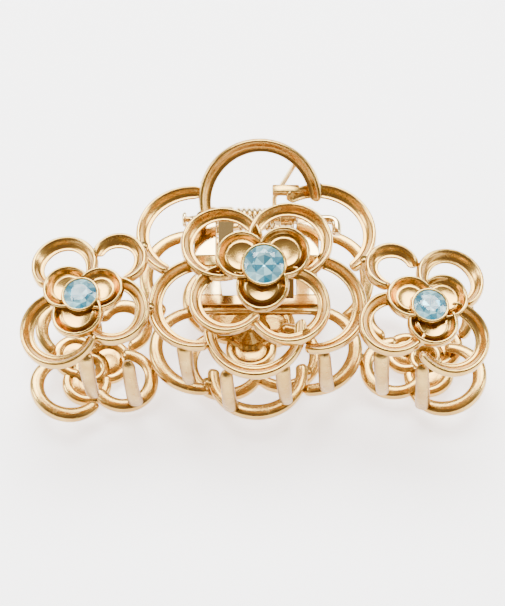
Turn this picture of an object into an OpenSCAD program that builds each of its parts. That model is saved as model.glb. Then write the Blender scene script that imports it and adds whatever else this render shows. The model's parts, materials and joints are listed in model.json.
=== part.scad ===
// Jewelled claw hair clip: two identical cast jaws of looped petals, turned to face
// each other on one pin, with a torsion spring that keeps the teeth shut.
// Each jaw is drawn in its own frame: X along the hinge pin, Y up from the teeth to
// the handle, Z outwards from the middle plane, with the hinge pin at the origin.

/* [Jaw casting] */
// Width of a petal ribbon
ribbon_w = 1.9; // [1.6:0.1:2.2]
// Height of a petal ribbon at its raised rim
ribbon_h = 1.6; // [1.4:0.1:1.8]
// How far the big outer petals lean back towards their tips, in degrees
petal_lean = 7; // [4:1:9]
// Level of the big petals behind the middle blossom
centre_level = 7.6; // [7.4:0.1:8]
// Level of the petals of the two side blossoms
side_level = 8.8; // [8.6:0.1:9]
// How far each side blossom turns outwards, in degrees
side_turn = 8; // [5:1:10]
// Radius of the handle loop
handle_r = 10.2; // [9.8:0.1:10.6]
// How far the handle loop flares outwards, in degrees
handle_flare = 30; // [26:1:34]

/* [Teeth] */
// Distance between neighbouring teeth of one jaw
tooth_pitch = 15.7; // [15:0.1:16]
// Width of a tooth
tooth_w = 2.6; // [2.2:0.1:3]
// Thickness of a tooth
tooth_t = 2; // [1.6:0.1:2.2]
// Radius of the curve of a tooth
tooth_curve = 24; // [22:1:30]
// How far a tooth slants along the jaw, in degrees
tooth_slant = 3; // [1:0.5:4]

/* [Blossoms] */
// How far the upper petals lean back towards their tips, in degrees
upper_lean = 3; // [2:0.5:4]
// Level of the seat that the middle blossom stands on
seat_level = 9.8; // [9.6:0.1:10]
// Level of the seat that the middle bud stands on
bud_level = 11.1; // [11:0.1:11.3]
// Tilt of the middle bud towards the teeth, in degrees
bud_tilt = 9; // [6:1:12]
// Level of the seats that the side buds stand on
side_seat = 10.3; // [10.2:0.1:10.5]

/* [Crystals] */
// Diameter of the middle crystal
centre_stone_d = 6.4; // [6:0.1:6.6]
// Diameter of the side crystals
side_stone_d = 5.3; // [5:0.1:5.6]

/* [Hinge] */
// Diameter of the hinge pin
pin_d = 1.6; // [1.4:0.1:1.8]
// Free play between the pin and the bore of a knuckle, on the radius
pin_play = 0.05; // [0.02:0.01:0.08]
// Outer diameter of a knuckle
knuckle_d = 4.4; // [4:0.1:4.6]
// Length of a knuckle
knuckle_l = 2.5; // [2.2:0.1:2.6]
// Thickness of the bracket plate
plate_t = 0.8; // [0.6:0.1:1]

/* [Spring] */
// Diameter of the spring wire
wire_d = 0.8; // [0.6:0.1:0.9]
// Mean diameter of the spring coil
coil_d = 3.2; // [3:0.1:3.4]
// Number of turns of the spring
coil_turns = 7; // [5:1:7]

/* [Lying position] */
// Angle by which the handle end of the closed clip is raised as it lies on the rear jaw
lie_tilt = 8.2; // [4:0.1:10]
// Height of the hinge pin over the table
pin_height = 15.85; // [15:0.05:17]
// Distance of the hinge pin behind the middle of the clip
pin_back = 12.306; // [12:0.002:13]

/* [Hidden] */
$fn = 96;

gold = [0.86, 0.69, 0.44];
pale_gold = [0.92, 0.80, 0.60];
aqua = [0.60, 0.83, 0.88];
steel = [0.80, 0.74, 0.62];

// A petal is [side, up, outer radius, first angle, last angle].
centre_at = [1.2, -15.2];
centre_petals = [
    [-10.7, -7.1, 9.1, 78, 245],
    [10.6, -7.0, 9.1, -55, 134],
    [-9.2, -20.3, 8.4, 88, 282],
    [9.3, -20.3, 8.6, -102, 92],
    [-0.2, -24.9, 8.4, 165, 372]];
left_at = [-28, -20.3];
left_petals = [
    [-30.9, -13.8, 5.6, -30, 232],
    [-22.0, -13.2, 4.7, -80, 172],
    [-22.9, -22.5, 6.0, -160, 96],
    [-31.3, -25.2, 6.8, 88, 345]];
right_at = [27.5, -22.3];
right_petals = [
    [21.8, -14.8, 4.7, 8, 262],
    [31.1, -16.3, 5.8, -62, 212],
    [31.0, -26.9, 6.4, -152, 92],
    [21.8, -24.9, 5.8, 84, 342]];
blossom_petals = [
    [-5.5, -10.6, 6.9, 10, 296],
    [5.4, -10.0, 7.1, -70, 205],
    [-4.6, -20.6, 6.4, 85, 330],
    [5.1, -21.8, 6.9, -158, 100]];
centre_bud_petals = [
    [-2.4, -13.5, 4.3, 30, 290],
    [4.4, -12.9, 4.4, -100, 190],
    [0.9, -18.6, 4.4, 160, 395]];
left_bud_petals = [
    [-30.3, -18.7, 4.1, 20, 300],
    [-24.9, -19.3, 3.9, -120, 160],
    [-28.5, -23.4, 4.3, 150, 395]];
right_bud_petals = [
    [24.5, -20.8, 4.0, 24, 286],
    [29.9, -20.4, 4.1, -104, 144],
    [28.0, -25.1, 4.2, 155, 395]];

// Each tooth starts at its own height on the lower rim, and at its own level.
tooth_first_x = -27.3;
tooth_rows = [-29.9, -27.4, -31, -29.3];
tooth_tops = [9.6, 8, 8, 9.5];
tooth_tip_z = -5.6;
tooth_edge = 0.5;

arch_foot = [0.6, -1];
arch_level = 8.3;
arch_first = -2;
arch_last = 203;
arch_h = ribbon_h + 0.2;

// A joint post is [side, up, lowest, highest]: where two ribbons cross, it ties them.
joint_posts = [
    [-8.5, 1.3, 7.5, 10.4], [10.1, 0.9, 7.5, 10],
    [-18.2, -10.5, 7.4, 10.6], [-17.0, -21.6, 7.4, 10.4],
    [17.4, -13.0, 7.4, 10.4], [16.8, -23.0, 7.4, 10.4]];
joint_post_r = 1;
// A seat post is [side, up]: it carries the middle blossom on the big petals.
seat_posts = [[-10.6, -12.8], [10.7, -12.7], [-8.3, -24.3], [8.1, -26.4], [-8.9, -4.9]];
seat_post_r = 0.9;

// Bar across the back of the jaw, that the hinge bracket is fixed to
bar_y = -12.5;
bar_w = 2.2;
bar_t = 1.5;
bar_half = 10.7;

// Square tab beside the handle loop, that a leg of the spring leans past
tab_at = [2.6, -0.2, 8];
tab_size = [4.4, 1.5, 1.4];

plate_z = 6.4;
plate_top = plate_z + plate_t;
plate_x = 10.2;
plate_y = -12.6;
plate_end = -4.6;
window_low = -10.8;
window_left = -6.6;
window_right = 5.6;
arm_in = 3.75;
arm_out = 6.6;
pin_half = 12;
head_l = 0.8;
head_d = 1.6 * pin_d;
hook_r = 1.3;
tail_l = 1.6;

coil_r = coil_d / 2;
coil_half = 3;
// Distances from the coil to the first points of a leg
leg_leads = [0.5, 2, 3.4];
leg_end = [6.6, 4.9, 10.7];
leg_out = atan2(leg_end[2], leg_end[1]);
turn_start = 90 - leg_out;
turn_sweep = 360 * coil_turns - 2 * turn_start;
ring_steps = 16;
wire_sides = 8;

stone_seat = 1.3;
stone_play = 0.02;
bud_ribbon_w = 1.5;
bud_ribbon_h = 1.5;
bud_lift = 0.3;
bud_floor = [0.1, 0.6];
bud_foot_r = 2.6;
cup_wall = 0.5;
cup_rim = 0.25;
centre_clear_r = 14;
side_clear_r = 7.6;
bud_clear_r = 8.4;
hub_r = 2.8;
coil_steps = ring_steps * coil_turns;
clear_h = 4;
big = 60;
eps = 0.01;

// Cross-section of a ribbon: a raised rim outside, sloping down to a thin inner edge.
module ribbon_profile(r, w, h) {
    polygon([[r - w, 0.12 * h], [r - 0.85 * w, 0], [r - 0.1, 0], [r, 0.2 * h],
        [r - 0.2, 0.92 * h], [r - 0.35, h], [r - 0.55, h], [r - w, 0.42 * h]]);
}

module ribbon_arc(r, first, last, w, h) {
    rotate([0, 0, first])
    rotate_extrude(angle = last - first)
    ribbon_profile(r, w, h);
}

// One petal around the middle of a blossom, leaning back away from that middle.
module petal(p, middle, lean, w, h) {
    out = atan2(p[1] - middle[1], p[0] - middle[0]);
    translate([p[0], p[1], 0])
    rotate(a = lean, v = [-sin(out), cos(out), 0])
    ribbon_arc(p[2], p[3], p[4], w, h);
}

// Puts children drawn around a blossom's middle at a level, turned outwards by an angle.
module turned(middle, level, turn) {
    translate([middle[0], middle[1], level])
    rotate([0, turn, 0])
    translate([-middle[0], -middle[1], 0])
    children();
}

module slab(middle, r, from, to) {
    translate([middle[0], middle[1], from])
    cylinder(h = to - from, r = r);
}

// Cross-section of a tooth, with its four edges taken off.
module tooth_section(t, w, edge) {
    polygon([[-t + edge, -w], [t - edge, -w], [t, -w + edge], [t, w - edge],
        [t - edge, w], [-t + edge, w], [-t, w - edge], [-t, -w + edge]]);
}

// A tooth leaves the lower rim, bows towards the open end of the clip and ends rounded.
module tooth(x, y, top) {
    length = top - tooth_tip_z - tooth_w / 2;
    half = asin(length / 2 / tooth_curve);
    translate([x, y, top])
    rotate([0, -tooth_slant, 0]) {
        translate([0, tooth_curve * cos(half), -length / 2])
        rotate([0, 90, 0])
        rotate([0, 0, -90 - half])
        rotate_extrude(angle = 2 * half)
        translate([tooth_curve, 0])
        tooth_section(tooth_t / 2, tooth_w / 2, tooth_edge);
        translate([0, 0.95 * tooth_t / 2, -length])
        rotate([90, 0, 0])
        cylinder(h = 0.95 * tooth_t, r = 0.48 * tooth_w);
    }
}

module side_petals(petals, middle, turn) {
    turned(middle, side_level, turn)
    difference() {
        for (p = petals)
            petal(p, middle, petal_lean, ribbon_w, ribbon_h);
        slab(middle, side_clear_r, side_seat - side_level, big);
    }
}

module handle_loop() {
    translate([arch_foot[0], arch_foot[1], arch_level])
    rotate([handle_flare, 0, 0])
    ribbon_arc(handle_r, arch_first, arch_last, ribbon_w, arch_h);
}

module jaw() {
    color(gold)
    difference() {
        union() {
            translate([0, 0, centre_level])
            for (p = centre_petals)
                petal(p, centre_at, petal_lean, ribbon_w, ribbon_h);
            side_petals(left_petals, left_at, -side_turn);
            side_petals(right_petals, right_at, side_turn);
            handle_loop();
            for (p = joint_posts)
                slab(p, joint_post_r, p[2], p[3]);
            for (p = seat_posts)
                slab(p, seat_post_r, centre_level, seat_level);
            translate([-bar_half, bar_y - bar_w / 2, plate_top])
            cube([2 * bar_half, bar_w, bar_t]);
            translate(tab_at)
            cube(tab_size);
            for (i = [0:3])
                tooth(tooth_first_x + i * tooth_pitch, tooth_rows[i], tooth_tops[i]);
        }
        slab(centre_at, centre_clear_r, seat_level, seat_level + clear_h);
    }
}

module centre_blossom() {
    color(gold)
    difference() {
        union() {
            translate([0, 0, seat_level])
            for (p = blossom_petals)
                petal(p, centre_at, upper_lean, ribbon_w, ribbon_h);
            slab(centre_at, hub_r, seat_level, bud_level);
        }
        slab(centre_at, big, seat_level - clear_h, seat_level);
        slab(centre_at, bud_clear_r, bud_level, bud_level + clear_h);
    }
}

// A bud: three small petals with closed floors, around the cup that holds a crystal.
module bud(petals, middle, stone_d) {
    difference() {
        union() {
            for (p = petals) {
                petal(p, middle, upper_lean, bud_ribbon_w, bud_ribbon_h);
                slab(p, p[2] - bud_ribbon_w / 2, bud_floor[0], bud_floor[1]);
            }
            slab(middle, stone_d / 2 + cup_wall, 0, stone_seat + cup_rim);
        }
        translate([middle[0], middle[1], stone_seat])
        crystal_body(stone_d + 2 * stone_play, stone_play);
    }
}

// A round crystal with its girdle at level zero: flat table above, pointed back below.
module crystal_body(d, play) {
    rotate_extrude()
    polygon([[0, -0.2 * d - play], [0.16 * d, -0.2 * d - play], [d / 2, -0.02 * d],
        [d / 2, 0.03 * d], [0.33 * d, 0.15 * d + play], [0, 0.15 * d + play]]);
}

module centre_bud_place() {
    translate([centre_at[0], centre_at[1], bud_level])
    rotate([bud_tilt, 0, 0])
    translate([-centre_at[0], -centre_at[1], bud_lift])
    children();
}

module centre_bud() {
    color(pale_gold)
    difference() {
        union() {
            centre_bud_place() bud(centre_bud_petals, centre_at, centre_stone_d);
            slab(centre_at, bud_foot_r, bud_level, bud_level + bud_lift + bud_floor[1]);
        }
        slab(centre_at, big, bud_level - clear_h, bud_level);
        centre_bud_place()
        translate([centre_at[0], centre_at[1], stone_seat])
        crystal_body(centre_stone_d + 2 * stone_play, stone_play);
    }
}

module side_bud(petals, middle, turn) {
    color(pale_gold)
    turned(middle, side_seat, turn)
    difference() {
        bud(petals, middle, side_stone_d);
        slab(middle, big, -clear_h, 0);
    }
}

module left_bud() {
    side_bud(left_bud_petals, left_at, -side_turn);
}

module right_bud() {
    side_bud(right_bud_petals, right_at, side_turn);
}

module stone_at(middle, d) {
    color(aqua)
    translate([middle[0], middle[1], stone_seat])
    crystal_body(d, 0);
}

module centre_crystal() {
    centre_bud_place() stone_at(centre_at, centre_stone_d);
}

module left_crystal() {
    turned(left_at, side_seat, -side_turn) stone_at(left_at, side_stone_d);
}

module right_crystal() {
    turned(right_at, side_seat, side_turn) stone_at(right_at, side_stone_d);
}

// Side view of a knuckle: a rolled tube on an arm that starts at a height on the plate.
module knuckle_side(root) {
    circle(d = knuckle_d);
    polygon([[root - 0.8, plate_z + 0.05], [root - 0.8, plate_top - 0.05],
        [root + 0.05, plate_top - 0.05], [-0.6, 1.9], [-1.9, 0.9]]);
}

module knuckle(x, root) {
    translate([x, 0, 0])
    rotate([90, 0, 90])
    linear_extrude(height = knuckle_l)
    knuckle_side(root);
}

// Stamped bracket behind the jaw: two flat pads beside a window, and two rolled knuckles.
module hinge_bracket() {
    color(pale_gold)
    difference() {
        union() {
            translate([0, 0, plate_z])
            linear_extrude(height = plate_t)
            polygon([[-plate_x, plate_y], [plate_x, plate_y], [plate_x, plate_end],
                [arm_out, plate_end], [window_right, window_low], [window_left, window_low],
                [window_left, plate_end], [-plate_x, plate_end]]);
            knuckle(-arm_in - knuckle_l, window_low);
            knuckle(arm_out, plate_end);
        }
        rotate([0, 90, 0])
        cylinder(h = big, d = pin_d + 2 * pin_play, center = true);
    }
}

// Hinge pin: a head at one end, and a bent tail at the other so that it can't slide out.
module hinge_pin() {
    color(steel) {
        translate([-pin_half, 0, 0])
        rotate([0, 90, 0])
        cylinder(h = 2 * pin_half, d = pin_d);
        translate([-pin_half - head_l / 2, 0, 0])
        rotate([0, 90, 0])
        cylinder(h = head_l, d = head_d);
        translate([pin_half - eps, -hook_r, 0])
        rotate_extrude(angle = 90)
        translate([hook_r, 0])
        circle(d = pin_d);
        translate([pin_half + hook_r - eps, -hook_r + eps, 0])
        rotate([90, 0, 0])
        cylinder(h = tail_l, d = pin_d);
    }
}

// Wire path of one leg, on the side of the jaw drawn here, from the coil to its tip.
function leg_start() = [coil_half, coil_r * cos(-turn_start), coil_r * sin(-turn_start)];
function leg_way() = [0, cos(leg_out), sin(leg_out)];
function leg_point(t) = leg_start() + t * leg_way();
function turned_over(p) = [-p[0], p[1], -p[2]];
function leg_knee() = leg_point(leg_leads[2]);
function leg_points() = [leg_point(leg_leads[0]), leg_point(leg_leads[1]), leg_knee(),
    (leg_knee() + leg_end) / 2, leg_end];
function helix_point(s) = [coil_half * (2 * s - 1),
    coil_r * cos(turn_start + s * turn_sweep), coil_r * sin(turn_start + s * turn_sweep)];
function reversed(v) = [for (i = [len(v) - 1:-1:0]) v[i]];
function spring_path() = concat(
    reversed([for (p = leg_points()) turned_over(p)]),
    [for (i = [0:coil_steps]) helix_point(i / coil_steps)],
    leg_points());
function unit(v) = v / norm(v);
function tangent(path, i) =
    unit(path[min(i + 1, len(path) - 1)] - path[max(i - 1, 0)]);
function ring(path, i) = let (t = tangent(path, i), s = unit(cross(t, [1, 0, 0])), u = cross(s, t))
    [for (k = [0:wire_sides - 1]) path[i]
        + wire_d / 2 * (cos(360 * k / wire_sides) * s + sin(360 * k / wire_sides) * u)];

module sweep(path) {
    n = len(path);
    polyhedron(
        points = [for (i = [0:n - 1]) each ring(path, i)],
        faces = concat(
            [for (i = [0:n - 2], k = [0:wire_sides - 1])
                let (j = (k + 1) % wire_sides)
                [i * wire_sides + k, (i + 1) * wire_sides + k, (i + 1) * wire_sides + j, i * wire_sides + j]],
            [[for (k = [0:wire_sides - 1]) k]],
            [[for (k = [wire_sides - 1:-1:0]) (n - 1) * wire_sides + k]]));
}

module torsion_spring() {
    color(steel)
    sweep(spring_path());
}

// The clip lies on its rear jaw, with the teeth towards the viewer.
module as_front() {
    translate([0, pin_back, pin_height])
    rotate([lie_tilt, 0, 0])
    children();
}

module as_rear() {
    as_front()
    rotate([0, 180, 0])
    children();
}

as_front() jaw();  // front_jaw
as_front() hinge_bracket();  // front_hinge_bracket
as_front() centre_blossom();  // front_centre_blossom
as_front() centre_bud();  // front_centre_bud
as_front() left_bud();  // front_left_bud
as_front() right_bud();  // front_right_bud
as_front() centre_crystal();  // front_centre_crystal
as_front() left_crystal();  // front_left_crystal
as_front() right_crystal();  // front_right_crystal
as_rear() jaw();  // rear_jaw
as_rear() hinge_bracket();  // rear_hinge_bracket
as_rear() centre_blossom();  // rear_centre_blossom
as_rear() centre_bud();  // rear_centre_bud
as_rear() left_bud();  // rear_left_bud
as_rear() right_bud();  // rear_right_bud
as_rear() centre_crystal();  // rear_centre_crystal
as_rear() left_crystal();  // rear_left_crystal
as_rear() right_crystal();  // rear_right_crystal
as_front() hinge_pin();
as_front() torsion_spring();
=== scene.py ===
import json
import math
import bpy
import bmesh
from mathutils import Matrix, Vector


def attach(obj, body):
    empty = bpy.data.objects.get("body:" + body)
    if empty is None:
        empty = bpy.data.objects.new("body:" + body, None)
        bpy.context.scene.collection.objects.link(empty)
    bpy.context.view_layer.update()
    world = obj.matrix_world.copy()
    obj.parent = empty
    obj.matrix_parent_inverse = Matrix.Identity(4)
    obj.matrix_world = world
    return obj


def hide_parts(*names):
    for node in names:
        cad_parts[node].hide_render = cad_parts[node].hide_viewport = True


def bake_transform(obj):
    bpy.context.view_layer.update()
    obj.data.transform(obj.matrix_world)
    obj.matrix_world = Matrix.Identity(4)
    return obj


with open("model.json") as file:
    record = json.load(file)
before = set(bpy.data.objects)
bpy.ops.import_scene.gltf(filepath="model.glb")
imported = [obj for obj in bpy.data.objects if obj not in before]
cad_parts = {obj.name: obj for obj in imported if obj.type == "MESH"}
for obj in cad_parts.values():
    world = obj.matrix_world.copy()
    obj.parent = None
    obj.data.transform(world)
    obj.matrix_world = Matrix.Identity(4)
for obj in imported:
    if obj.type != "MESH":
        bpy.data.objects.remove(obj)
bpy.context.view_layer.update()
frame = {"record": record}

# Lengths below are in millimetres in a jaw's own frame: X along the hinge pin,
# Y up from the teeth to the handle, Z outwards, with the hinge pin at the origin.
MM = 0.001
LIE_TILT = 8.2
PIN = Vector(frame["record"]["behaviour"]["joints"][0]["pos_m"])

# Ribbons of the petals
RIBBON_W = 2.25
BLOSSOM_RIBBON_W = 2.05
RIBBON_H = 1.7
BUD_RIBBON_W = 1.75
BUD_RIBBON_H = 1.5
PETAL_LEAN = 7
UPPER_LEAN = 3
CENTRE_LEVEL = 7.6
SIDE_LEVEL = 8.8
SIDE_TURN = 8
SEAT_LEVEL = 9.8
BUD_LEVEL = 11.1
BUD_LIFT = 0.3
BUD_TILT = 9
SIDE_SEAT = 10.3
STONE_SEAT = 1.3
SHINGLE = 0.35
BUD_SHINGLE = 0.25
BUD_FLOOR = 0.40
BUD_FLOOR_RIM = 0.75
# Small unevenness of the cast ribbons
WAVER = 0.05

# A petal is (side, up, outer radius, first angle, last angle).
CENTRE_AT = (1.2, -15.2)
CENTRE_PETALS = (
    (-10.7, -7.1, 9.1, 78, 245), (10.6, -7.0, 9.1, -55, 134),
    (-9.2, -20.3, 8.4, 88, 282), (9.3, -20.3, 8.6, -102, 92),
    (-0.2, -24.9, 8.4, 165, 372))
LEFT_AT = (-28, -20.3)
LEFT_PETALS = (
    (-30.9, -13.8, 5.6, -30, 232), (-22.0, -13.2, 4.7, -80, 172),
    (-22.9, -22.5, 6.0, -160, 96), (-31.3, -25.2, 6.8, 88, 345))
RIGHT_AT = (27.5, -22.3)
RIGHT_PETALS = (
    (21.8, -14.8, 4.7, 8, 262), (31.1, -16.3, 5.8, -62, 212),
    (31.0, -26.9, 6.4, -152, 92), (21.8, -24.9, 5.8, 84, 342))
BLOSSOM_PETALS = (
    (-5.5, -10.6, 6.9, 10, 296), (5.4, -10.0, 7.1, -70, 205),
    (-4.6, -20.6, 6.4, 85, 330), (5.1, -21.8, 6.9, -158, 100))
CENTRE_BUD = ((-2.4, -13.5, 4.3, 30, 290), (4.4, -12.9, 4.4, -100, 190), (0.9, -18.6, 4.4, 160, 395))
LEFT_BUD = ((-30.3, -18.7, 4.1, 20, 300), (-24.9, -19.3, 3.9, -120, 160), (-28.5, -23.4, 4.3, 150, 395))
RIGHT_BUD = ((24.5, -20.8, 4.0, 24, 286), (29.9, -20.4, 4.1, -104, 144), (28.0, -25.1, 4.2, 155, 395))

# Handle loop, teeth, posts and bar of the casting
HANDLE_FOOT = (0.6, -1.0, 8.3)
HANDLE_R = 10.2
HANDLE_FLARE = 30
HANDLE_FIRST = -2
HANDLE_LAST = 203
HANDLE_EXTRA_H = 0.2
TOOTH_X = -27.3
TOOTH_PITCH = 15.7
TOOTH_ROWS = (-29.9, -27.4, -31.0, -29.3)
TOOTH_TOPS = (9.4, 7.9, 7.9, 9.3)
TOOTH_TIP = -5.6
TOOTH_W = 2.6
TOOTH_T = 2.0
TOOTH_BOW = 1.1
TOOTH_SLANT = 0.8
JOINT_POSTS = (
    (-8.5, 1.3, 7.5, 10.4), (10.1, 0.9, 7.5, 10.0), (-18.2, -10.5, 7.4, 10.6),
    (-17.0, -21.6, 7.4, 10.4), (17.4, -13.0, 7.4, 10.4), (16.8, -23.0, 7.4, 10.4))
SEAT_POSTS = ((-10.6, -12.8), (10.7, -12.7), (-8.3, -24.3), (8.1, -26.4), (-8.9, -4.9))
JOINT_POST_R = 0.6
SEAT_POST_R = 0.75
TAB_AT = (2.6, -0.2, 8.0)
TAB_SIZE = (4.4, 1.5, 1.4)
BAR_Y = -12.5
BAR_W = 2.2
BAR_HALF_T = 0.72
HUB_R = 2.8

# Hinge
PLATE_Z = 6.4
PLATE_T = 0.8
PLATE_X = 10.2
PLATE_Y = -12.6
PLATE_END = -4.6
WINDOW_LOW = -10.8
WINDOW_LEFT = -6.6
WINDOW_RIGHT = 5.6
ARM_IN = 3.75
ARM_OUT = 6.6
KNUCKLE_L = 2.5
KNUCKLE_R = 2.2
BORE_R = 0.85
PIN_R = 0.8
PIN_HALF = 12
HOOK_R = 1.3

# Spring
WIRE_R = 0.4
COIL_R = 1.6
COIL_HALF = 3.0
COIL_TURNS = 7
LEG_LEAD = 3.4
LEG_END = Vector((6.6, 4.9, 10.7))

# Crystals
CENTRE_STONE_R = 3.2
SIDE_STONE_R = 2.65


def rotation(degrees, axis):
    return Matrix.Rotation(math.radians(degrees), 4, axis)


FRONT = Matrix.Translation(PIN) @ rotation(LIE_TILT, "X") @ Matrix.Scale(MM, 4)
REAR = FRONT @ rotation(180, "Y")
SIDES = {"front": FRONT, "rear": REAR}
# Turns a drawing in the plane across the hinge so that its third axis runs along the hinge pin.
ON_EDGE = Matrix(((0, 0, 1, 0), (1, 0, 0, 0), (0, 1, 0, 0), (0, 0, 0, 1)))


# ---------------------------------------------------------------- materials

def node_material(name):
    material = bpy.data.materials.new(name)
    material.use_nodes = True
    tree = material.node_tree
    shader = tree.nodes["Principled BSDF"]
    coords = tree.nodes.new("ShaderNodeTexCoord")
    return material, tree, shader, coords


def noise(tree, coords, scale, detail):
    node = tree.nodes.new("ShaderNodeTexNoise")
    node.inputs["Scale"].default_value = scale
    node.inputs["Detail"].default_value = detail
    tree.links.new(coords.outputs["Object"], node.inputs["Vector"])
    return node


def ramp(tree, source, low, high, start=0.35, end=0.65):
    node = tree.nodes.new("ShaderNodeValToRGB")
    node.color_ramp.elements[0].position = start
    node.color_ramp.elements[1].position = end
    node.color_ramp.elements[0].color = (*low, 1)
    node.color_ramp.elements[1].color = (*high, 1)
    tree.links.new(source.outputs["Fac"], node.inputs["Fac"])
    return node


def span(tree, source, low, high):
    node = tree.nodes.new("ShaderNodeMapRange")
    node.inputs["To Min"].default_value = low
    node.inputs["To Max"].default_value = high
    tree.links.new(source.outputs["Fac"], node.inputs["Value"])
    return node


def metal(name, low, high, painted_shade_colour, rough, bump_scale, bump_height):
    material, tree, shader, coords = node_material(name)
    shader.inputs["Metallic"].default_value = 1
    patches = noise(tree, coords, 260, 3)
    colour = ramp(tree, patches, low, high)
    # Painted shade: a darker colour is mixed in by a per-vertex weight, darkening the ribbon channels, bud
    # dishes, tooth sides and the bracket's lower band and arms.
    painted_shade = tree.nodes.new("ShaderNodeAttribute")
    painted_shade.attribute_name = "painted_shade"
    shade = tree.nodes.new("ShaderNodeMix")
    shade.data_type = "RGBA"
    mix_a = next(socket for socket in shade.inputs if socket.name == "A" and socket.type == "RGBA")
    mix_b = next(socket for socket in shade.inputs if socket.name == "B" and socket.type == "RGBA")
    mixed = next(socket for socket in shade.outputs if socket.type == "RGBA")
    mix_b.default_value = (*painted_shade_colour, 1)
    tree.links.new(painted_shade.outputs["Fac"], shade.inputs[0])
    tree.links.new(colour.outputs["Color"], mix_a)
    tree.links.new(mixed, shader.inputs["Base Color"])
    haze = noise(tree, coords, 900, 4)
    roughness = span(tree, haze, rough[0], rough[1])
    tree.links.new(roughness.outputs["Result"], shader.inputs["Roughness"])
    grain = noise(tree, coords, bump_scale, 5)
    bump = tree.nodes.new("ShaderNodeBump")
    bump.inputs["Strength"].default_value = 0.35
    bump.inputs["Distance"].default_value = bump_height
    tree.links.new(grain.outputs["Fac"], bump.inputs["Height"])
    tree.links.new(bump.outputs["Normal"], shader.inputs["Normal"])
    return material


def crystal_material():
    material, tree, shader, coords = node_material("aqua_crystal")
    tint = noise(tree, coords, 500, 2)
    colour = ramp(tree, tint, (0.40, 0.84, 0.90), (0.60, 0.92, 0.96))
    tree.links.new(colour.outputs["Color"], shader.inputs["Base Color"])
    shader.inputs["Roughness"].default_value = 0.02
    shader.inputs["IOR"].default_value = 1.55
    shader.inputs["Transmission Weight"].default_value = 0.97
    return material


def foil_material():
    material, tree, shader, coords = node_material("crystal_foil")
    # Painted glints: a per-facet brightness value picks the foil's aqua colour, and the same colour glows as
    # emission, a painted light.
    facet = tree.nodes.new("ShaderNodeAttribute")
    facet.attribute_name = "painted_sparkle"
    glint = ramp(tree, facet, (0.01, 0.17, 0.25), (0.86, 1.0, 1.0), 0.0, 1.0)
    tree.links.new(glint.outputs["Color"], shader.inputs["Base Color"])
    tree.links.new(glint.outputs["Color"], shader.inputs["Emission Color"])
    shader.inputs["Emission Strength"].default_value = 0.95
    shader.inputs["Metallic"].default_value = 1
    shader.inputs["Roughness"].default_value = 0.10
    return material


# Painted shade colour, mixed into channels, dishes and the bracket's lower band by the per-vertex weight.
PAINTED_SHADE_GOLD = (0.52, 0.30, 0.075)
CAST_GOLD = metal("cast_gold", (0.50, 0.30, 0.080), (0.63, 0.41, 0.12), PAINTED_SHADE_GOLD, (0.17, 0.33), 1500, 0.00004)
BUD_GOLD = metal("bud_gold", (0.52, 0.32, 0.087), (0.65, 0.43, 0.13), PAINTED_SHADE_GOLD, (0.15, 0.29), 1800, 0.00004)
# Painted shade colour for the sides of the teeth.
MATTE_PAINTED_SHADE = (0.34, 0.18, 0.04)
MATTE_GOLD = metal("matte_gold", (0.44, 0.27, 0.075), (0.58, 0.39, 0.13), MATTE_PAINTED_SHADE,
                   (0.22, 0.36), 2200, 0.00018)
STRIP_GOLD = metal("strip_gold", (0.70, 0.52, 0.25), (0.80, 0.62, 0.33), PAINTED_SHADE_GOLD, (0.08, 0.16), 1200, 0.00001)
WIRE_GOLD = metal("wire_gold", (0.64, 0.46, 0.19), (0.76, 0.58, 0.27), PAINTED_SHADE_GOLD, (0.14, 0.24), 3000, 0.00001)
CRYSTAL = crystal_material()
FOIL = foil_material()


# ---------------------------------------------------------------- mesh tools

def smooth_loop(points, steps):
    """A closed smooth curve through the points."""
    out = []
    count = len(points)
    for i in range(count):
        a, b, c, d = (Vector(points[(i + k) % count]) for k in (-1, 0, 1, 2))
        for s in range(steps):
            t = s / steps
            out.append(0.5 * (2 * b + (c - a) * t + (2 * a - 5 * b + 4 * c - d) * t * t
                              + (3 * b - a - 3 * c + d) * t * t * t))
    return out


def skin(bm, rings, material=0, closed=False, painted_shade=None):
    """Faces between rings of points, with the two ends filled; the last argument gives a painted-shade weight
    for each point of a ring.
    """
    layer = bm.verts.layers.float.get("painted_shade") or bm.verts.layers.float.new("painted_shade")
    loops = [[bm.verts.new(p) for p in ring] for ring in rings]
    if painted_shade:
        for loop in loops:
            for vert, value in zip(loop, painted_shade):
                vert[layer] = min(1, max(0, value))
    faces = []
    pairs = list(zip(loops, loops[1:]))
    if closed:
        pairs.append((loops[-1], loops[0]))
    for lower, upper in pairs:
        for i in range(len(lower)):
            j = (i + 1) % len(lower)
            faces.append(bm.faces.new((lower[i], lower[j], upper[j], upper[i])))
    if not closed:
        faces.append(bm.faces.new(list(reversed(loops[0]))))
        faces.append(bm.faces.new(loops[-1]))
    for face in faces:
        face.material_index = material
        face.smooth = True
    return faces


def cap_steps(length, cap, steps):
    """Places along a length, close together at both ends, each with its end-rounding scale."""
    places = []
    for i in range(5):
        s = cap * (1 - math.cos(math.radians(i * 22.5)))
        places.append((s, max(0.15, math.sin(math.radians(i * 22.5)) ** 0.8)))
    middle = [(cap + (length - 2 * cap) * i / steps, 1) for i in range(1, steps)]
    tail = [(length - s, k) for s, k in reversed(places)]
    return places + middle + tail


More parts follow.
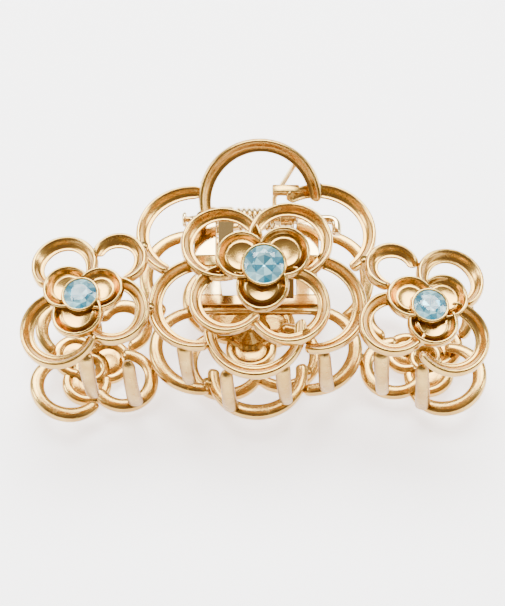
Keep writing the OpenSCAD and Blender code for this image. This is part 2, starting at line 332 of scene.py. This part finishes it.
# Points of the ribbon's section: share of the width from the rim, share of the height, painted-shade weight
# that darkens the concave channel.
RIBBON_SHAPE = (
    (0.03, 0.35, 0.0), (0.06, 0.68, 0.0), (0.14, 0.93, 0.0), (0.27, 0.98, 0.0), (0.39, 0.86, 0.3),
    (0.51, 0.60, 0.8), (0.66, 0.34, 1.0), (0.83, 0.22, 1.0), (0.95, 0.24, 0.5), (1.00, 0.12, 0.5),
    (0.95, 0.02, 0.8), (0.80, -0.12, 0.5), (0.52, -0.20, 0.2), (0.24, -0.12, 0.1), (0.06, 0.04, 0.0))


def ribbon(bm, place, radius, first, last, w, h, shingle=0.0):
    """A cast ribbon along an arc: bright raised rim outside, concave band darkened with painted shade, thin
    inner lip.
    """
    shape = smooth_loop(RIBBON_SHAPE, 2)
    length = math.radians(last - first) * radius
    rings = []
    for s, k in cap_steps(length, 0.5 * w, max(16, int((last - first) / 3.5))):
        t = s / length
        angle = math.radians(first) + s / radius
        width = w * (0.86 + 0.20 * math.sin(math.pi * t) ** 0.7)
        height = h * (0.90 + 0.10 * math.sin(math.pi * t))
        lift = shingle * (2 * t - 1)
        swell = math.sin(3 * angle + place.translation.x / MM)
        width *= 1 + WAVER * swell
        outer = radius - WAVER * (1 - swell)
        ring = []
        for p in shape:
            u = 0.5 + (p.x - 0.5) * k
            v = 0.45 + (p.y - 0.45) * k
            r = outer - u * width
            ring.append(place @ Vector((r * math.cos(angle), r * math.sin(angle), v * height + lift)))
        rings.append(ring)
    return skin(bm, rings, painted_shade=[p.z for p in shape])


def lean_out(petal, middle, lean):
    out = math.atan2(petal[1] - middle[1], petal[0] - middle[0])
    axis = Vector((-math.sin(out), math.cos(out), 0))
    return Matrix.Translation((petal[0], petal[1], 0)) @ rotation(lean, axis)


def turned(middle, level, turn, tilt=0):
    there = Matrix.Translation((middle[0], middle[1], level))
    back = Matrix.Translation((-middle[0], -middle[1], 0))
    return there @ rotation(tilt, "X") @ rotation(turn, "Y") @ back


def petals(bm, place, rows, middle, lean, w, h, shingle=SHINGLE):
    for row in rows:
        ribbon(bm, place @ lean_out(row, middle, lean), row[2], row[3], row[4], w, h, shingle)


def dish(bm, place, radius, low, high):
    """The concave floor inside a bud petal, lowest in the middle, darkened all over with painted shade."""
    profile = [(radius, high), (0.8 * radius, 0.35 * high + 0.65 * low), (0.45 * radius, low + 0.05),
               (0.0, low), (0.0, 0.1), (0.45 * radius, 0.08), (0.9 * radius, 0.05), (radius, 0.2)]
    lathe(bm, place, profile, 40, 0.9)


def lathe(bm, place, profile, steps=48, painted_shade=0.0):
    """A closed outline of (radius, height) turned about Z, with one painted-shade weight for all its points.
    """
    rings = []
    for i in range(steps):
        a = 2 * math.pi * i / steps
        rings.append([place @ Vector((r * math.cos(a), r * math.sin(a), z)) for r, z in profile])
    return skin(bm, rings, closed=True, painted_shade=[painted_shade] * len(profile))


def post(bm, place, x, y, low, high, r):
    """A short round post that flares at both ends like a cast fillet."""
    rings = []
    for i in range(9):
        t = i / 8
        flare = r * (1 + 0.15 * (2 * t - 1) ** 4)
        z = low + (high - low) * t
        rings.append([place @ Vector((x + flare * math.cos(math.radians(a)),
                                      y + flare * math.sin(math.radians(a)), z))
                      for a in range(0, 360, 20)])
    return skin(bm, rings)


def rounded_box(half_w, half_t, power):
    """An outline between a rectangle and an ellipse."""
    out = []
    for i in range(20):
        a = 2 * math.pi * i / 20
        c, s = math.cos(a), math.sin(a)
        out.append((half_w * math.copysign(abs(c) ** power, c), half_t * math.copysign(abs(s) ** power, s)))
    return out


def tooth(bm, place, x, y, top, material):
    """A flat claw that leaves the lower rim, bows towards the open end and ends rounded."""
    rings = []
    steps = 30
    for i in range(steps + 1):
        t = 0.5 - 0.5 * math.cos(math.pi * i / steps)
        z = top + (TOOTH_TIP - top) * t
        bow = -TOOTH_BOW * 4 * t * (1 - t)
        taper = 1.0 - 0.2 * t
        tip = math.sqrt(max(0.02, 1 - max(0, (t - 0.90) / 0.10) ** 2))
        root = math.sqrt(max(0.02, 1 - max(0, (0.08 - t) / 0.08) ** 2))
        k = taper * min(tip, root)
        outline = rounded_box(TOOTH_W / 2 * k, TOOTH_T / 2 * k, 0.95)
        side = x + TOOTH_SLANT * t
        rings.append([place @ Vector((side + u, y + bow + v, z)) for u, v in outline])
    # Painted shade on the two sides of the tooth, strongest at the edges of its width.
    painted_side_shade = [abs(math.cos(2 * math.pi * i / 20)) ** 3 for i in range(20)]
    return skin(bm, rings, material, painted_shade=painted_side_shade)


def tube(bm, place, path, radius, sides):
    """A round wire along a path of points, with softly rounded ends."""
    rings = []
    up = Vector((1, 0, 0))
    count = len(path)
    for i in range(count):
        along = (path[min(i + 1, count - 1)] - path[max(i - 1, 0)]).normalized()
        side = up.cross(along)
        if side.length < 1e-3:
            side = Vector((0, 0, 1)).cross(along)
        side.normalize()
        up = along.cross(side).normalized()
        size = radius
        if i in (0, count - 1):
            size = radius * 0.55
        elif i in (1, count - 2):
            size = radius * 0.9
        rings.append([place @ (path[i] + size * (math.cos(2 * math.pi * k / sides) * side
                                                + math.sin(2 * math.pi * k / sides) * up))
                      for k in range(sides)])
    return skin(bm, rings)


def finish_piece(bm, name, body, nodes, materials):
    bmesh.ops.recalc_face_normals(bm, faces=bm.faces)
    mesh = bpy.data.meshes.new(name)
    bm.to_mesh(mesh)
    bm.free()
    for material in materials:
        mesh.materials.append(material)
    piece = bpy.data.objects.new(name, mesh)
    bpy.context.scene.collection.objects.link(piece)
    if body:
        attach(piece, body)
    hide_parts(*nodes)
    return piece


# ---------------------------------------------------------------- sub-parts

def make_jaw(side):
    place = SIDES[side]
    bm = bmesh.new()
    centre = place @ Matrix.Translation((0, 0, CENTRE_LEVEL))
    petals(bm, centre, CENTRE_PETALS, CENTRE_AT, PETAL_LEAN, RIBBON_W, RIBBON_H)
    left = place @ turned(LEFT_AT, SIDE_LEVEL, -SIDE_TURN)
    petals(bm, left, LEFT_PETALS, LEFT_AT, PETAL_LEAN, RIBBON_W, RIBBON_H)
    right = place @ turned(RIGHT_AT, SIDE_LEVEL, SIDE_TURN)
    petals(bm, right, RIGHT_PETALS, RIGHT_AT, PETAL_LEAN, RIBBON_W, RIBBON_H)
    loop = place @ Matrix.Translation(HANDLE_FOOT) @ rotation(HANDLE_FLARE, "X")
    ribbon(bm, loop, HANDLE_R, HANDLE_FIRST, HANDLE_LAST, RIBBON_W, RIBBON_H + HANDLE_EXTRA_H)
    for x, y, low, high in JOINT_POSTS:
        post(bm, place, x, y, low, high - 0.5, JOINT_POST_R)
    for x, y in SEAT_POSTS:
        post(bm, place, x, y, CENTRE_LEVEL, SEAT_LEVEL + 0.1, SEAT_POST_R)
    x, y, z = TAB_AT
    width, depth, height = TAB_SIZE
    square = rounded_box(depth / 2, height / 2, 0.3)
    tab = [[place @ Vector((x + width * t, y + depth / 2 + u * k, z + height / 2 + v * k)) for u, v in square]
           for t, k in ((0.0, 0.86), (0.03, 1.0), (0.5, 1.0), (0.97, 1.0), (1.0, 0.86))]
    skin(bm, tab)
    bar_z = PLATE_Z + PLATE_T + BAR_HALF_T
    outline = rounded_box(BAR_W / 2, BAR_HALF_T, 0.45)
    bar = [[place @ Vector((x, BAR_Y + u, bar_z + v)) for u, v in outline]
           for x in (-PLATE_X - 0.5, -5, 0, 5, PLATE_X + 0.5)]
    skin(bm, bar)
    for i, (y, top) in enumerate(zip(TOOTH_ROWS, TOOTH_TOPS)):
        tooth(bm, place, TOOTH_X + i * TOOTH_PITCH, y, top, 1)
    finish_piece(bm, side + "_jaw_casting", side, [side + "_jaw"], [CAST_GOLD, MATTE_GOLD])


def cup(bm, place, middle, r):
    """The bezel that grips a crystal: outer wall, rolled lip, inner wall, floor."""
    outline = [(r + 0.50, 0.0), (r + 0.50, STONE_SEAT - 0.25), (r + 0.42, STONE_SEAT + 0.10),
               (r + 0.24, STONE_SEAT + 0.26), (r + 0.05, STONE_SEAT + 0.20), (r + 0.02, STONE_SEAT + 0.02),
               (r * 0.96, STONE_SEAT - 0.25), (r * 0.42, STONE_SEAT - 0.46 * r), (r * 0.30, 0.0)]
    centred = place @ Matrix.Translation((middle[0], middle[1], 0))
    lathe(bm, centred, outline, 64)


def clear_seat(bm, place, middle, radius):
    """Presses any petal metal that reaches under the crystal down to the foot of the bud."""
    back = place.inverted()
    for vert in bm.verts:
        local = back @ vert.co
        if math.hypot(local.x - middle[0], local.y - middle[1]) < radius:
            local.z = min(local.z, 0.05)
            vert.co = place @ local


def make_bud(side, name, rows, middle, stone_r, inner):
    place = SIDES[side] @ inner
    full_name = side + "_" + name + "_bud"
    bm = bmesh.new()
    petals(bm, place, rows, middle, UPPER_LEAN, BUD_RIBBON_W, BUD_RIBBON_H, BUD_SHINGLE)
    for row in rows:
        inside = row[2] - BUD_RIBBON_W + 0.15
        dish(bm, place @ lean_out(row, middle, UPPER_LEAN), inside, BUD_FLOOR, BUD_FLOOR_RIM)
    clear_seat(bm, place, middle, stone_r + 0.3)
    cup(bm, place, middle, stone_r)
    finish_piece(bm, full_name + "_petals", side, [full_name], [BUD_GOLD])


def make_blossom(side):
    place = SIDES[side]
    bm = bmesh.new()
    petals(bm, place @ Matrix.Translation((0, 0, SEAT_LEVEL)), BLOSSOM_PETALS, CENTRE_AT, UPPER_LEAN,
           BLOSSOM_RIBBON_W, RIBBON_H)
    post(bm, place, CENTRE_AT[0], CENTRE_AT[1], SEAT_LEVEL, BUD_LEVEL, HUB_R)
    full_name = side + "_centre_blossom"
    finish_piece(bm, full_name + "_petals", side, [full_name], [CAST_GOLD])


def crystal_rings(r):
    """Facet corners of a round stone, from the table down to the back point."""
    table = [(0.56 * r, 22.5 + 45 * i, 0.30 * r) for i in range(8)]
    star = [(0.78 * r, 45 * i, 0.20 * r) for i in range(8)]
    top_girdle = [(r, 22.5 * i, 0.04 * r) for i in range(16)]
    low_girdle = [(r, 22.5 * i, -0.02 * r) for i in range(16)]
    back = [(0.52 * r, 45 * i, -0.22 * r) for i in range(8)]
    return table, star, top_girdle, low_girdle, back


def make_crystal(side, name, middle, r, inner):
    place = SIDES[side] @ inner @ Matrix.Translation((middle[0], middle[1], STONE_SEAT))
    bm = bmesh.new()
    painted_sparkle = bm.faces.layers.float.new("painted_sparkle")
    groups = []
    for ring in crystal_rings(r):
        group = []
        for a, degrees, z in ring:
            turn = math.radians(degrees)
            group.append(bm.verts.new(place @ Vector((a * math.cos(turn), a * math.sin(turn), z))))
        groups.append(group)
    table, star, top, low, back = groups
    culet = bm.verts.new(place @ Vector((0, 0, -0.36 * r)))
    crown = [bm.faces.new(table)]
    pavilion = []
    for i in range(8):
        j = (i + 1) % 8
        crown.append(bm.faces.new((table[i - 1], table[i], star[i])))
        crown.append(bm.faces.new((table[i], star[i], top[2 * i + 1])))
        crown.append(bm.faces.new((table[i], top[2 * i + 1], star[j])))
        crown.append(bm.faces.new((star[i], top[2 * i], top[2 * i + 1])))
        crown.append(bm.faces.new((star[j], top[2 * i + 1], top[(2 * i + 2) % 16])))
        pavilion.append(bm.faces.new((low[2 * i], low[2 * i + 1], back[i])))
        pavilion.append(bm.faces.new((low[2 * i + 1], low[(2 * i + 2) % 16], back[j])))
        pavilion.append(bm.faces.new((low[2 * i + 1], back[i], back[j])))
        pavilion.append(bm.faces.new((back[i], back[j], culet)))
    for i in range(16):
        j = (i + 1) % 16
        crown.append(bm.faces.new((top[i], top[j], low[j], low[i])))
    # Painted glints: each pavilion facet gets its own painted brightness for the foil's colour and glow.
    for i, face in enumerate(pavilion):
        face.material_index = 1
        face[painted_sparkle] = ((i * 7 % 12) / 11) ** 1.4
    full_name = side + "_" + name + "_crystal"
    finish_piece(bm, full_name + "_stone", side, [full_name], [CRYSTAL, FOIL])


def plate(bm, place, outline, low, high, painted_shade=0.0):
    bottom = [place @ Vector((x, y, low)) for x, y in outline]
    upper = [place @ Vector((x, y, high)) for x, y in outline]
    faces = skin(bm, [bottom, upper], painted_shade=[painted_shade] * len(outline))
    for face in faces:
        face.smooth = False


def make_bracket(side):
    place = SIDES[side]
    bm = bmesh.new()
    top = PLATE_Z + PLATE_T
    band = [(-PLATE_X, PLATE_Y), (PLATE_X, PLATE_Y), (PLATE_X, WINDOW_LOW), (-PLATE_X, WINDOW_LOW)]
    left_pad = [(-PLATE_X, WINDOW_LOW), (WINDOW_LEFT, WINDOW_LOW),
                (WINDOW_LEFT, PLATE_END), (-PLATE_X, PLATE_END)]
    right_pad = [(WINDOW_RIGHT, WINDOW_LOW), (PLATE_X, WINDOW_LOW),
                 (PLATE_X, PLATE_END), (ARM_OUT, PLATE_END)]
    # Painted shade: the lower band is painted darker than the two pads.
    plate(bm, place, band, PLATE_Z, top, 0.9)
    plate(bm, place, left_pad, PLATE_Z, top)
    plate(bm, place, right_pad, PLATE_Z, top)
    for x, root in ((-ARM_IN - KNUCKLE_L, WINDOW_LOW), (ARM_OUT, PLATE_END)):
        arm = [(root - 0.8, PLATE_Z + 0.05), (root - 0.8, top - 0.05), (root + 0.05, top - 0.05),
               (-0.6, 1.9), (-1.9, 0.9)]
        # Painted shade on the arms as well.
        plate(bm, place @ ON_EDGE, arm, x, x + KNUCKLE_L, 0.8)
        ring = [(BORE_R, 0.08), (BORE_R + 0.1, 0), (KNUCKLE_R - 0.25, 0), (KNUCKLE_R, 0.25),
                (KNUCKLE_R, KNUCKLE_L / 2), (KNUCKLE_R, KNUCKLE_L - 0.25), (KNUCKLE_R - 0.25, KNUCKLE_L),
                (BORE_R + 0.1, KNUCKLE_L), (BORE_R, KNUCKLE_L - 0.08)]
        lathe(bm, place @ Matrix.Translation((x, 0, 0)) @ ON_EDGE, ring)
    nodes = [side + "_hinge_bracket"]
    piece = finish_piece(bm, side + "_hinge_strip", side, nodes, [STRIP_GOLD])
    bevel = piece.modifiers.new("soft_edges", "BEVEL")
    bevel.width = 0.12 * MM
    bevel.segments = 2
    bevel.limit_method = "ANGLE"
    bevel.angle_limit = math.radians(40)


def make_pin():
    bm = bmesh.new()
    path = [Vector((-PIN_HALF, 0, 0)) + Vector((i * 2 * PIN_HALF / 12, 0, 0)) for i in range(13)]
    for a in range(15, 91, 15):
        path.append(Vector((PIN_HALF + HOOK_R * math.sin(math.radians(a)),
                            -HOOK_R + HOOK_R * math.cos(math.radians(a)), 0)))
    path += [Vector((PIN_HALF + HOOK_R, -HOOK_R - s, 0)) for s in (0.6, 1.2, 1.5, 1.6)]
    tube(bm, FRONT, path, PIN_R, 20)
    head = [(0.0, -0.40), (0.7, -0.38), (1.1, -0.25), (1.26, 0), (1.26, 0.2), (1.1, 0.38), (0.0, 0.4)]
    lathe(bm, FRONT @ Matrix.Translation((-PIN_HALF, 0, 0)) @ ON_EDGE, head)
    finish_piece(bm, "hooked_pin", "rear", ["hinge_pin"], [STRIP_GOLD])


def spring_path():
    leg_out = math.atan2(LEG_END.z, LEG_END.y)
    start = math.pi / 2 - leg_out
    sweep = 2 * math.pi * COIL_TURNS - 2 * start
    base = Vector((COIL_HALF, COIL_R * math.cos(-start), COIL_R * math.sin(-start)))
    way = Vector((0, math.cos(leg_out), math.sin(leg_out)))
    knee = base + LEG_LEAD * way
    leg = [base + s * way for s in (0.4, 1.0, 1.8, 2.6)] + [knee]
    leg += [knee.lerp(LEG_END, t) for t in (0.15, 0.35, 0.55, 0.75, 0.9, 0.97, 1.0)]
    steps = 36 * COIL_TURNS
    coil = []
    for i in range(steps + 1):
        s = i / steps
        angle = start + s * sweep
        coil.append(Vector((COIL_HALF * (2 * s - 1), COIL_R * math.cos(angle), COIL_R * math.sin(angle))))
    rear_leg = [Vector((-p.x, p.y, -p.z)) for p in reversed(leg)]
    return rear_leg + coil + leg


def make_spring():
    bm = bmesh.new()
    tube(bm, FRONT, spring_path(), WIRE_R, 14)
    piece = finish_piece(bm, "spring_wire", None, ["torsion_spring"], [WIRE_GOLD])
    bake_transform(piece)


def make_clip():
    centre_inner = turned(CENTRE_AT, BUD_LEVEL, 0, BUD_TILT) @ Matrix.Translation((0, 0, BUD_LIFT))
    left_inner = turned(LEFT_AT, SIDE_SEAT, -SIDE_TURN)
    right_inner = turned(RIGHT_AT, SIDE_SEAT, SIDE_TURN)
    buds = (("centre", CENTRE_BUD, CENTRE_AT, CENTRE_STONE_R, centre_inner),
            ("left", LEFT_BUD, LEFT_AT, SIDE_STONE_R, left_inner),
            ("right", RIGHT_BUD, RIGHT_AT, SIDE_STONE_R, right_inner))
    for side in ("front", "rear"):
        make_jaw(side)
        make_blossom(side)
        make_bracket(side)
        for name, rows, middle, stone_r, inner in buds:
            make_bud(side, name, rows, middle, stone_r, inner)
            make_crystal(side, name, middle, stone_r, inner)
    make_pin()
    make_spring()


# ---------------------------------------------------------------- stage

ELEVATION = 53.8
DISTANCE = 0.5
VIEW_WIDTH = 84.0 * MM
AIM_BELOW_PIN = 13.9 * MM
AIM_LEFT = 0.65 * MM
FLOOR_HALF = 1.5
FLOOR_GLOW = 2.3
SOFTBOX_COLOUR = (0.96, 0.985, 1)


def make_camera():
    e = math.radians(ELEVATION)
    back = Vector((0, -math.cos(e), math.sin(e)))
    up = Vector((0, math.sin(e), math.cos(e)))
    aim = PIN - AIM_BELOW_PIN * up - Vector((AIM_LEFT, 0, 0))
    data = bpy.data.cameras.new("camera")
    data.sensor_fit = "HORIZONTAL"
    data.sensor_width = 36
    data.lens = 36 * DISTANCE / VIEW_WIDTH
    data.clip_start = 0.01
    camera = bpy.data.objects.new("camera", data)
    camera.location = aim + DISTANCE * back
    camera.rotation_euler = back.to_track_quat("Z", "Y").to_euler()
    bpy.context.scene.collection.objects.link(camera)
    bpy.context.scene.camera = camera


def softbox(name, way, distance, size, power):
    data = bpy.data.lights.new(name, "AREA")
    data.shape = "RECTANGLE"
    data.size = size[0]
    data.size_y = size[1]
    data.energy = power
    data.color = SOFTBOX_COLOUR
    lamp = bpy.data.objects.new(name, data)
    direction = Vector(way).normalized()
    lamp.location = distance * direction
    lamp.rotation_euler = direction.to_track_quat("Z", "Y").to_euler()
    bpy.context.scene.collection.objects.link(lamp)


def make_stage():
    bm = bmesh.new()
    half = FLOOR_HALF
    corners = ((-half, -half), (half, -half), (half, half), (-half, half))
    bm.faces.new([bm.verts.new((x, y, 0)) for x, y in corners])
    mesh = bpy.data.meshes.new("floor")
    bm.to_mesh(mesh)
    bm.free()
    material, tree, shader, coords = node_material("floor_white")
    shade = noise(tree, coords, 6, 2)
    colour = ramp(tree, shade, (0.83, 0.87, 0.88), (0.85, 0.89, 0.90))
    tree.links.new(colour.outputs["Color"], shader.inputs["Base Color"])
    shader.inputs["Roughness"].default_value = 0.7
    shader.inputs["Emission Color"].default_value = (1.0, 0.88, 0.84, 1)
    shader.inputs["Emission Strength"].default_value = FLOOR_GLOW
    mesh.materials.append(material)
    floor = bpy.data.objects.new("floor", mesh)
    bpy.context.scene.collection.objects.link(floor)


def make_light():
    softbox("back_softbox", (0.0, 0.6, 1.0), 0.7, (0.62, 0.42), 16.5)
    softbox("left_softbox", (-1.0, 0.1, 0.75), 0.8, (0.25, 0.40), 5.4)
    softbox("right_softbox", (1.0, 0.1, 0.6), 0.8, (0.20, 0.40), 4.0)
    world = bpy.data.worlds.new("studio")
    world.use_nodes = True
    tree = world.node_tree
    coords = tree.nodes.new("ShaderNodeTexCoord")
    towards = tree.nodes.new("ShaderNodeVectorMath")
    towards.operation = "DOT_PRODUCT"
    towards.inputs[1].default_value = (0, -0.80, 0.60)
    tree.links.new(coords.outputs["Generated"], towards.inputs[0])
    shade = tree.nodes.new("ShaderNodeValToRGB")
    shade.color_ramp.interpolation = "EASE"
    shade.color_ramp.elements[0].position = 0.25
    shade.color_ramp.elements[0].color = (0.7, 0.7, 0.72, 1)
    shade.color_ramp.elements[1].position = 0.85
    shade.color_ramp.elements[1].color = (0.34, 0.27, 0.22, 1)
    tree.links.new(towards.outputs["Value"], shade.inputs["Fac"])
    tree.links.new(shade.outputs["Color"], tree.nodes["Background"].inputs["Color"])
    tree.nodes["Background"].inputs["Strength"].default_value = 1.0
    bpy.context.scene.world = world


make_camera()
make_clip()
make_stage()
make_light()
